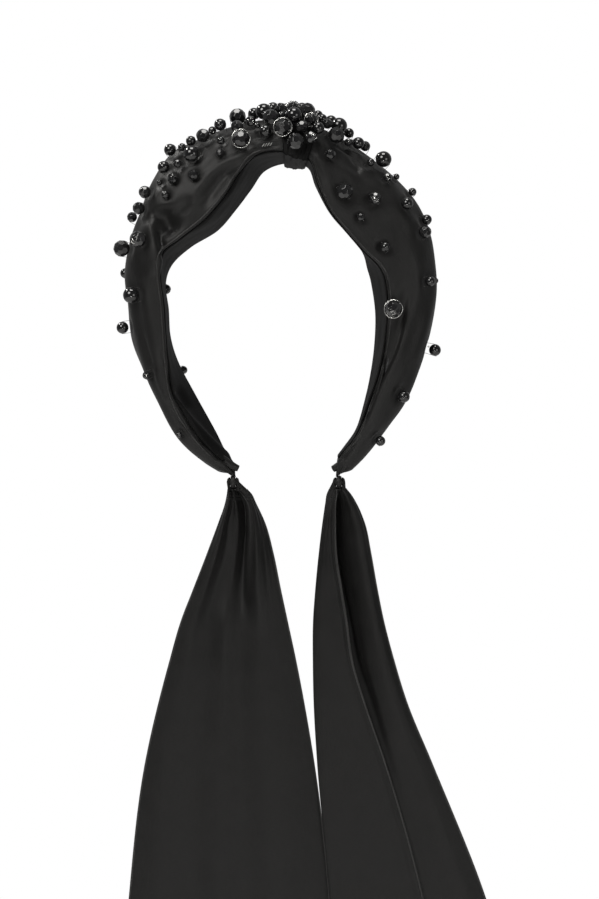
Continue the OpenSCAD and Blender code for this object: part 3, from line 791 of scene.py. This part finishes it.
# ---------------------------------------------------------------- beads
def cut_ball():
    """A ball cut with 12 small and 20 large facets, one large facet towards the front."""
    g = (1 + 5 ** 0.5) / 2
    pts = set()
    for x, y, z in ((0, 1, 3 * g), (1, 2 + g, 2 * g), (g, 2, 2 * g + 1)):
        for i in (1, -1):
            for j in (1, -1):
                for k in (1, -1):
                    q = (i * x, j * y, k * z)
                    pts |= {q, (q[1], q[2], q[0]), (q[2], q[0], q[1])}
    bm = bmesh.new()
    for q in pts:
        bm.verts.new(q)
    bmesh.ops.convex_hull(bm, input=bm.verts)
    bmesh.ops.dissolve_limit(bm, angle_limit=0.02, verts=bm.verts, edges=bm.edges)
    bmesh.ops.bevel(bm, geom=list(bm.edges), offset=0.09, segments=1, affect="EDGES")
    turn = Vector((1, 1, 1)).rotation_difference(Vector((0, -1, 0))).to_matrix()
    bm.verts.ensure_lookup_table()
    verts = np.array([turn @ v.co for v in bm.verts])
    verts /= np.linalg.norm(verts, axis=1).max()
    faces = [[v.index for v in f.verts] for f in bm.faces]
    bm.free()
    return verts, faces


def turned_ball(hole, steps=20, sides=28):
    """A round drilled bead of radius 1: a closed profile turned about X."""
    a0 = math.asin(hole)
    a = np.linspace(a0, math.pi - a0, steps)
    x = np.concatenate([np.cos(a), [-math.cos(a0) * 0.9, math.cos(a0) * 0.9]])
    r = np.concatenate([np.sin(a), [hole * 0.8, hole * 0.8]])
    t = circle(sides)[:, None]
    p = np.stack([x + 0 * t, r * np.cos(t), r * np.sin(t)], axis=-1)
    m = len(x)
    return p.reshape(-1, 3), (quads(sides + 1, m, True) % (sides * m)).tolist()


def turn_to(axis, seed_turn=0.0):
    """The rotation that carries X onto axis, after a turn about X."""
    q = Vector((1, 0, 0)).rotation_difference(Vector(axis)).to_matrix()
    return np.array(q @ Matrix.Rotation(seed_turn, 3, "X"))


def tilt(amount):
    """A random rotation: any turn about Y, then leans of up to the given amount about Z and X."""
    return np.array((Matrix.Rotation(rng.uniform(-amount, amount), 3, "X")
                     @ Matrix.Rotation(rng.uniform(-amount, amount), 3, "Z")
                     @ Matrix.Rotation(rng.uniform(0, 6.28), 3, "Y")))


def ring_path(mid, radius, normal, n, span=2 * math.pi, start=0.0):
    """A path of n points round a circle, or round an arc of it where span, in radians, is less."""
    side = unit(np.cross(normal, [0.2, 0.1, 1]))
    other = np.cross(normal, side)
    a = start + np.linspace(0, span, n, endpoint=span < 6.2)[:, None]
    return mid + radius * (np.cos(a) * side + np.sin(a) * other)


CUT, ROUND = cut_ball(), turned_ball(0.1)
skin_cloud = np.concatenate([p.reshape(-1, 3) for p in (left_all, right_all, wrap_p)])[::2]


def nearest_skin(q):
    """The point of the satin nearest to q."""
    near = skin_cloud[abs(skin_cloud[:, 0] - q[0]) < 9]
    near = near if len(near) else skin_cloud
    return near[((near - q) ** 2).sum(1).argmin()]


def crystal_glints(glint_pieces, mid, d, outward):
    """Painted glints on a crystal bead, made as silver pieces facing outwards: an arc, a small four-sided
    plate on the larger ones, a short arc.
    """
    look = unit(np.array([rng.uniform(-0.5, 0.5), outward, rng.uniform(-0.2, 0.6)]))
    span, start = rng.uniform(3.6, 5.2), rng.uniform(0, 6)
    glint_pieces.tube(ring_path(mid + look * d * 0.45, d * 0.17, look, 24, span, start), 0.02 * d + 0.03, 8)
    if d > 5:
        a, b = unit(np.cross(look, [0.3, 0, 1])), unit(np.cross(look, [1, 0, -0.3]))
        tip = mid + look * d * 0.47
        corners = [tip + a * d * 0.12, tip + b * d * 0.12, tip - a * d * 0.12, tip - b * d * 0.12]
        faces = [[k, (k + 1) % 4, 4] for k in range(4)] + [[(k + 1) % 4, k, 5] for k in range(4)]
        glint_pieces.add(corners + [tip + look * 0.25, tip - look * 0.8], faces, flat=True)
    span, start = rng.uniform(0.5, 1.1), rng.uniform(0, 6)
    glint_pieces.tube(ring_path(mid + look * d * 0.38, d * 0.34, look, 12, span, start), 0.016 * d + 0.02, 6)


for body, kinds in BEAD_NODES.items():
    own = [b for b in BEADS if b[0] == body]
    threads = Soup()
    for kind, node in kinds.items():
        balls, glint_pieces = Soup(), Soup()
        for _, _, mid, d, axis in [b for b in own if b[1] == kind]:
            outward = -1.0 if mid[1] < 0 else 1.0
            if kind == "round":
                balls.add(mid + (ROUND[0] * d / 2) @ turn_to(axis, rng.uniform(0, 6)).T, ROUND[1])
            else:
                verts = (CUT[0] * [1, -outward, 1]) @ tilt(0.2).T * d / 2 * 1.03
                balls.add(mid + verts, CUT[1], flat=True)
            if kind == "crystal":
                crystal_glints(glint_pieces, mid, d, outward)
            ends = [nearest_skin(mid + axis * side * d * 0.3) for side in (-1, 1)]
            path = [ends[0], mid - axis * (d / 2 + 0.05), mid - axis * d * 0.4, mid, mid + axis * d * 0.4,
                    mid + axis * (d / 2 + 0.05), ends[1]]
            threads.tube(refined(path, 4), 0.1, 6)
        if kind == "crystal":
            piece = balls.done(node + "_glass", CRYSTAL)
            # The silver pieces on the crystals are painted glints, not settings.
            shine = glint_pieces.done(node + "_painted_glints", SILVER)
            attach(shine, body)
        else:
            piece = balls.done(node + "_glass", BLACK_BEAD if kind == "round" else CUT_BEAD)
        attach(piece, body)
        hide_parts(node)
    piece = threads.done(body + "_bead_sewing", BLACK_THREAD)
    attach(piece, body)
    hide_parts(THREAD_NODES[body])

for body, node in (("crown", "crown_bead_rims"), ("right_arm", "right_crystal_rim")):
    rims = Soup()
    for p in islands(node):
        mid, radius = (p.min(0) + p.max(0)) / 2, np.ptp(p[:, 0]) / 2 - 0.55
        front = np.array([0, -1.0, 0])
        rims.tube(ring_path(mid + front * 0.3, radius, front, 44), 0.27, 8, closed=True)
        for k in range(4):
            a = 0.7 + k * math.pi / 2
            out = np.array([math.cos(a), 0, math.sin(a)])
            rims.tube([mid + out * radius * 1.02 + front * 0.1, mid + out * radius * 0.99 + front * 0.9,
                       mid + out * radius * 0.86 + front * 1.5], [0.24, 0.22, 0.12], 6)
    piece = rims.done(node + "_wire", SILVER)
    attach(piece, body)
    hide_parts(node)

lo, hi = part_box("right_seed_bead")
mid, d = (np.array(lo) + np.array(hi)) / 2 / MM, (hi[0] - lo[0]) / MM
seed_points, seed_faces = turned_ball(0.3)
seed_points = mid + (seed_points * d / 2) @ turn_to([0.6, 0.2, 0.7]).T
seed_bead = Soup().add(seed_points, seed_faces).done("seed_bead_glass", WHITE_BEAD)
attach(seed_bead, "right_arm")
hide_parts("right_seed_bead")


# ---------------------------------------------------------------- the band's ends and the tail hinges
def spiral(path, radius, turns, start, seed, sides=34):
    """A rolled strip of satin along a path: its section is an open spiral."""
    path = refined(path, 6)
    r = curve(np.linspace(0, 1, len(radius)), np.array(radius, float), np.linspace(0, 1, len(path)))
    t = unit(np.gradient(path, axis=0))
    side = unit(np.cross(t, [0, 1.0, 0]))
    other = np.cross(t, side)
    a = start + np.linspace(0, turns * 2 * math.pi, sides)
    grow = np.linspace(0.55, 1.0, sides) * (1 + 0.05 * np.sin(5 * a + seed))
    return path[:, None] + r[:, None, None] * grow[None, :, None] * (
        np.cos(a)[None, :, None] * side[:, None] + np.sin(a)[None, :, None] * other[:, None])


ROLL_CLOTH_T = 0.45
LEFT_ROLL = [(-33.5, -1.5, -146.0), (-29.5, -1.8, -149.6), (-25.6, -1.6, -152.4), (-21.9, -1.0, -154.2)]
RIGHT_ROLL = [(36.5, -1.2, -145.5), (32.6, -1.6, -149.2), (29.0, -1.6, -152.2), (25.4, -0.8, -154.4)]
left_roll = spiral(LEFT_ROLL, [1.2, 1.9, 1.9, 1.3], 1.3, 2.2, 1)
right_roll = spiral(RIGHT_ROLL, [1.0, 1.9, 2.0, 1.5], 1.25, 0.4, 2)
for name, roll, body in (("left", left_roll, "left_arm"), ("right", right_roll, "right_arm")):
    piece = Soup().shell(roll, ROLL_CLOTH_T).done(name + "_end_roll", SATIN)
    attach(piece, body)
    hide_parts(name + "_end_fold")

# The loop's inner radius, thickness and width, the gathered roll's radius and width, and the hinge places.
LOOP_R, LOOP_T, LOOP_W = 2.32, 0.72, 2.4
ROLL_R, ROLL_W = 1.9, 5.8
HINGE = {"left": np.array([-24.5, 0, -161.0]), "right": np.array([28.5, 0, -161.0])}


def loop_strap(hinge, seed):
    """A folded satin tape sewn into a ring round the gather."""
    a, b = circle(72)[:, None], circle(20)[None]
    cx, cr = np.cos(b), np.sin(b)
    x = LOOP_W / 2 * np.sign(cx) * abs(cx) ** 0.5
    r = LOOP_R + LOOP_T / 2 + LOOP_T / 2 * np.sign(cr) * abs(cr) ** 0.6 * (1 - 0.1 * np.cos(2 * b))
    r = r + 0.02 * np.sin(3 * a + seed) * (cr > 0) + 0.04 * np.cos(9 * x) * (cr > 0)
    p = hinge + np.stack([x + 0.08 * np.sin(2 * a + seed), r * np.cos(a), r * np.sin(a)], axis=-1)
    n, m = p.shape[:2]
    return Soup().add(p.reshape(-1, 3), (quads(n + 1, m, True) % (n * m)).tolist(), grid_uv(p))


def bunch(hinge, top_row, seed):
    """The rolled, gathered top of a tail, and the two strands that carry the tail past the loop."""
    x = np.linspace(-1, 1, 26)[:, None]
    a = circle(48)[None]
    r = ROLL_R * np.sqrt(np.maximum(1 - abs(x) ** 3.2, 0.02))
    r = r * (1 + 0.07 * np.cos(11 * a + 3 * x + seed) * abs(x))
    p = hinge + np.stack([x * ROLL_W / 2 + 0 * a, r * np.cos(a), r * np.sin(a)], axis=-1)
    soup = Soup().add(p, capped(*p.shape[:2]), grid_uv(p))
    bar = np.array([[x, 0.15 * math.sin(3 * x), -3.86 - 0.05 * x * x] for x in np.linspace(-1.9, 1.9, 9)])
    soup.tube(hinge + bar, 0.6, 14)
    for behind, down, thick in ((1.95, 3.05, 0.45), (2.6, 2.55, 0.42)):
        soup.tube(hinge + bar * [0.9, 0.3, 0.02] + [0, behind, -down], thick, 12)
    reach = {-1: hinge[0] - top_row[:, 0].min(), 1: top_row[:, 0].max() - hinge[0]}
    drop = np.linspace(-2.3, 4.4, 22)
    b = circle(40)[None]
    for side in (-1, 1):
        inner = 1.38 - 0.25 * smooth((drop - 3.3) / 0.9)
        widths = [2.0, 2.8, 3.2, reach[side] - 0.15, reach[side] + 0.1]
        outer = np.interp(drop, [-2.3, -1.6, 0, 3.3, 4.4], widths)
        deep = np.interp(drop, [-2.3, -1.6, 0, 4.4], [0.5, 1.3, 1.7, 1.5])
        mid, half = ((outer + inner) / 2)[:, None], ((outer - inner) / 2)[:, None]
        wavy = 1 + 0.1 * np.cos(7 * b + seed + side)
        ring = hinge + np.stack([side * (mid + half * np.sign(np.cos(b)) * abs(np.cos(b)) ** 0.8),
                                 deep[:, None] * wavy * np.sin(b) * side, -drop[:, None] + 0 * b], axis=-1)
        soup.add(ring, [face[::-1] for face in capped(*ring.shape[:2])], grid_uv(ring))
    return soup


# ---------------------------------------------------------------- scarf tails
# Rows of a tail: the distance below the hinge, then its section, as the points' X and their depths, in mm.
# Negative depth is towards the front.
LEFT_TAIL = [
    (3.5, [-27.2, -26.6, -25.8, -24.9, -23.6, -21.8, -19.6, -17.6], [1, -0.8, 0.8, -1, 1.6, -1.8, -1.2, 0.8]),
    (6, [-27.5, -26.6, -25.3, -23.9, -21.4, -18.8, -16.6, -15.2],
     [1.2, -1.6, 0.9, -1.2, 2.6, -2.6, -1.8, 1.2]),
    (10, [-28.3, -27, -25, -22.8, -18.9, -16.2, -14.4, -13.3], [1.2, -2.2, 0.8, 1.8, 5, -3.9, -2.2, 1.4]),
    (20, [-31.6, -29.2, -26.8, -21.6, -17.8, -14.2, -11, -8.8], [1, -2.4, 0.7, 2.8, 6.8, -4.8, -2.2, 1.2]),
    (35, [-37, -33, -28.6, -23, -18.6, -13.6, -8.6, -4.8], [0.8, -2.2, 1.6, 2.4, 6.4, -4.2, -1.6, 1.4]),
    (54, [-44.2, -39, -33.6, -26, -19.8, -13, -6.5, -1], [0.6, -1.6, 1.3, 1.4, 4.2, -2.8, -0.8, 1.6]),
    (69, [-50, -44, -37, -28, -20.6, -12, -4.5, 2.2], [0.5, -1, 1.4, -0.9, 1.5, -1.4, -0.5, 1.9]),
    (90, [-56, -48, -38, -29, -21, -11.5, -2, 6.8], [0.4, -0.7, 0.7, -0.6, 0.7, -1, -0.2, 2.1]),
    (140, [-68, -57, -42, -30, -20, -8, 4.5, 15.8], [0.3, -0.6, 0.2, -0.4, 0.3, -0.8, 0, 2.3]),
    (209, [-76.3, -63, -44, -30, -18, -4, 11, 23.6], [0.2, -0.6, 0.2, -0.4, 0.2, -0.7, 0.1, 2]),
    (300, [-81.8, -68, -48, -32, -18, -2, 13.5, 26.6], [0.2, -0.6, 0.4, -0.4, 0.3, -0.6, 0.3, 1.4]),
    (399, [-84.6, -70, -50, -33, -18, -2, 14, 27.3], [0.3, -0.9, 0.7, -0.7, 0.6, -0.8, 0.5, 0.8]),
]
RIGHT_TAIL = [
    (3.5, [32, 30.5, 28.4, 27.2, 25.2, 23.6, 24.4, 25.8, 27.2],
     [0.8, -0.4, 1.4, 1.7, 1.2, 0.2, -1.0, -1.7, -1.8]),
    (6, [34, 32.2, 29.4, 27.2, 24.6, 22.5, 23.6, 25.4, 27.4],
     [0.8, -1.2, 1.2, 2.6, 1.6, 0.2, -1.4, -2.4, -2.6]),
    (10, [36.4, 34, 30.2, 27, 24, 21.8, 23, 24.9, 26.8], [0.8, -2, 1.4, 4.6, 1.8, 0.1, -1.8, -3, -3.2]),
    (20, [40.7, 37.2, 31.6, 27, 23, 20.3, 21.6, 24, 26.5], [1, -2.2, 2, 8.6, 2.2, 0.1, -2, -3.3, -3.9]),
    (35, [43.9, 39.6, 33, 27.8, 22.4, 18.5, 19.9, 23, 26.8], [1, -2, 2.6, 10, 2.2, 0.1, -2, -3.3, -4.1]),
    (54, [47.3, 42.8, 36, 31, 22.6, 16.8, 18.4, 23.6, 29.6], [1, -1.9, 2.6, 10, 2.2, 0.1, -1.9, -3, -3.9]),
    (69, [50.3, 45.8, 39, 33.8, 23.4, 15.9, 17.6, 24.4, 32], [1, -1.7, 2.2, 9, 1.9, 0.1, -1.7, -2.7, -3.5]),
    (90, [55.8, 50.6, 43, 37.4, 25, 15.9, 17.8, 25.8, 35], [1.1, -1.4, 1.6, 7, 1.6, 0.1, -1.4, -2.2, -2.8]),
    (110, [62, 56.6, 49, 43.2, 28, 16.5, 18.6, 28.6, 41], [1.2, -1.1, 0.9, 4.4, 1.3, 0.1, -1.2, -1.8, -2.1]),
    (140, [74.3, 68, 58, 50.8, 33.4, 18.5, 21, 34.6, 51.3], [1.3, -0.8, 0.5, 2.2, 1.1, 0.1, -1, -1.5, -1.6]),
    (209, [101.6, 93, 80.4, 68, 46.4, 25.4, 28, 47.6, 70.5], [1.2, -0.7, 0.3, 1, 1, 0.1, -0.9, -1.3, -1.4]),
    (300, [123.4, 113, 98, 82, 55, 28.9, 31.6, 57, 85.5], [0.9, -0.6, 0.5, 1, 1, 0.1, -0.9, -1.3, -1.3]),
    (399, [132.4, 122, 106, 89, 60, 29.9, 32.6, 62, 93], [0.6, -0.8, 0.7, 1, 1, 0.1, -0.9, -1.3, -1.3]),
]
TAIL_T = 0.75


def tail_points(rows, hinge, columns, seed, groove, step=1.5):
    """A tail's outer face and its rows' distances below the hinge: gathers, long waves, hem and groove.

    The groove is pressed in beside the last edge. A groove of 0 leaves it out.
    """
    drops = np.array([r[0] for r in rows], float)
    table = np.array([list(zip(*r[1:])) for r in rows], float)
    d = np.concatenate([np.arange(drops[0], 30, 0.6), np.arange(30, drops[-1] - step / 2, step), [drops[-1]]])
    grid = curve(drops, table, d)
    k = np.arange(table.shape[1])
    u = np.linspace(0, k[-1], columns)
    sec = np.swapaxes(curve(k, np.swapaxes(grid, 0, 1), u), 0, 1)
    p = np.stack([sec[..., 0], sec[..., 1], hinge[2] - np.broadcast_to(d[:, None], sec.shape[:2])], axis=-1)
    n = grid_normals(p)
    share = (u / k[-1])[None]
    dd = d[:, None]
    fine = 0.17 * np.sin(2 * math.pi * 13 * share + 2.0 * np.sin(4 * share + seed)) * np.exp(-dd / 26)
    long_waves = 0.22 * ripple(dd * 0.25, sec[..., 0], seed, 8, 0.006, 0.05) * smooth(dd / 60)
    hem = 0.16 * smooth((dd - (drops[-1] - 8.5)) / 0.8)
    edge = np.linalg.norm(p - p[:, -1:], axis=2)
    hem = hem - groove * np.exp(-((edge - 2.2) / 0.45) ** 2) * smooth((dd - 5) / 6)
    return p + n * (fine + long_waves + hem)[..., None], d


STITCH_PITCH, HEM_STITCH_UP, THREAD_R = 2.6, 8.0, 0.1
for side, rows, columns, seed, groove in (("left", LEFT_TAIL, 150, 21, 0.0),
                                          ("right", RIGHT_TAIL, 210, 22, 0.4)):
    hinge = HINGE[side]
    body = side + "_tail"
    p, d = tail_points(rows, hinge, columns, seed, groove)
    n = grid_normals(p)
    tail = Soup().shell(p, TAIL_T).done(side + "_tail_cloth", TAIL_SATIN)
    mid_p = p - n * TAIL_T / 2
    # The rolled hems take the lighter hem satin, a painted highlight along the tail's edges.
    hems = Soup()
    taper = 0.25 + 0.32 * smooth((d - 4) / 30)
    hems.tube(mid_p[::2, 0], taper[::2], 10)
    thin = 1 - 0.3 * smooth((d[::2] - 60) / 60)
    hems.tube(mid_p[::2, -1] + (n * 0.2)[::2, -1], taper[::2] * thin, 12)
    hems = hems.done(side + "_tail_rolled_hems", HIGHLIGHT_HEM_SATIN)
    sewing = Soup()
    row = int(np.searchsorted(d, d[-1] - HEM_STITCH_UP))
    run = run_along(p[row])
    line = (p + n * 0.06)[row]
    for start in np.arange(int(run[-1] / STITCH_PITCH)) * STITCH_PITCH:
        a, b = (np.array([np.interp(start + x, run, line[:, i]) for i in range(3)]) for x in (0.3, 1.9))
        away = n[row][np.searchsorted(run, start + 1.0).clip(0, len(run) - 1)]
        sewing.tube([a - away * 0.1, (a + b) / 2 + away * 0.08, b - away * 0.1], THREAD_R, 5)
    for turn in range(3):
        row = int(np.searchsorted(d, 7 + 0.9 * turn))
        zig = p[row] + n[row] * (0.12 * np.sin(np.linspace(0, 40, columns)))[:, None]
        sewing.tube(zig[::2], THREAD_R, 5)
    sewing = sewing.done(side + "_tail_sewing", BLACK_THREAD)
    gather = bunch(hinge, p[0], seed).done(side + "_tail_bunch", TAIL_SATIN)
    loop = loop_strap(hinge, seed).done(side + "_loop_strap", SATIN)
    for piece in (tail, hems, sewing, gather):
        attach(piece, body)
    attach(loop, side + "_arm")
    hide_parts(side + "_tail")
    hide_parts(side + "_gather")
    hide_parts(side + "_gather_thread")
    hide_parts(side + "_tail_loop")
    for piece, name in ((tail, "tail_satin"), (hems, "tail_satin"), (gather, "tail_satin"),
                        (sewing, "black_thread"), (loop, "satin")):
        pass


# ---------------------------------------------------------------- floor, light and camera
FLOOR_R, FLOOR_Z = 1.15, -0.60


def floor():
    me = bpy.data.meshes.new("floor")
    rim = [(FLOOR_R * math.cos(a), FLOOR_R * math.sin(a), FLOOR_Z) for a in circle(96)]
    me.from_pydata(rim, [], [list(range(96))])
    m, nt, shader = material("pale_floor")
    surface(nt, shader, ramp(nt, noise(nt, coords(nt), 9.0), (0.9, 0.9, 0.9), (0.94, 0.94, 0.94)),
            spread(nt, noise(nt, coords(nt), 40.0), 0.7, 0.85))
    me.materials.append(m)
    obj = bpy.data.objects.new("floor", me)
    bpy.context.scene.collection.objects.link(obj)


def area_light(name, at, to, size, power, size_y=None, diffuse=1.0):
    light = bpy.data.lights.new(name, "AREA")
    light.energy, light.size, light.diffuse_factor = power, size, diffuse
    light.color = (1.0, 0.985, 0.955)
    if size_y:
        light.shape, light.size_y = "RECTANGLE", size_y
    obj = bpy.data.objects.new(name, light)
    obj.location = at
    obj.rotation_euler = (Vector(to) - Vector(at)).to_track_quat("-Z", "Y").to_euler()
    bpy.context.scene.collection.objects.link(obj)


def studio():
    scene = bpy.context.scene
    scene.view_settings.view_transform = "Standard"
    world = bpy.data.worlds.new("studio")
    scene.world = world
    world.use_nodes = True
    nt = world.node_tree
    back = nt.nodes["Background"]
    back.inputs["Color"].default_value = (1, 1, 1, 1)
    where, split = nt.nodes.new("ShaderNodeTexCoord"), nt.nodes.new("ShaderNodeSeparateXYZ")
    fall, path, most = (nt.nodes.new("ShaderNode" + k) for k in ("MapRange", "LightPath", "Math"))
    fall.inputs["From Min"].default_value, fall.inputs["From Max"].default_value = -0.35, 0.9
    fall.inputs["To Min"].default_value, fall.inputs["To Max"].default_value = 0.1, 0.3
    most.operation = "MAXIMUM"
    nt.links.new(where.outputs["Generated"], split.inputs["Vector"])
    nt.links.new(split.outputs["Y"], fall.inputs["Value"])
    nt.links.new(fall.outputs["Result"], most.inputs[0])
    nt.links.new(path.outputs["Is Camera Ray"], most.inputs[1])
    nt.links.new(most.outputs["Value"], back.inputs["Strength"])
    area_light("key", (-0.7, -1.15, 0.7), (0, 0, -0.15), 0.7, 10.5)
    area_light("fill", (1.0, -1.2, -0.1), (0, 0, -0.2), 0.7, 3)
    area_light("top", (0.0, -0.25, 1.15), (0, 0, 0), 0.6, 8)
    area_light("rim", (-0.8, 0.3, 0.8), (0, 0, 0), 0.5, 5, 0.06, 0.05)
    area_light("low_strip", (0.0, -1.2, -0.55), (0, 0, 0.0), 0.5, 1.6, 0.03, 0.1)


CAMERA_X, CAMERA_Z, CAMERA_AWAY, CAMERA_LENS = 0.00875, -0.14475, 1.5, 120.1


def camera():
    data = bpy.data.cameras.new("camera")
    data.lens, data.sensor_width, data.sensor_fit = CAMERA_LENS, 36, "AUTO"
    data.clip_start, data.clip_end = 0.05, 20
    obj = bpy.data.objects.new("camera", data)
    obj.location = (CAMERA_X, -CAMERA_AWAY, CAMERA_Z)
    obj.rotation_euler = (math.pi / 2, 0, 0)
    bpy.context.scene.collection.objects.link(obj)
    bpy.context.scene.camera = obj


floor()
studio()
camera()
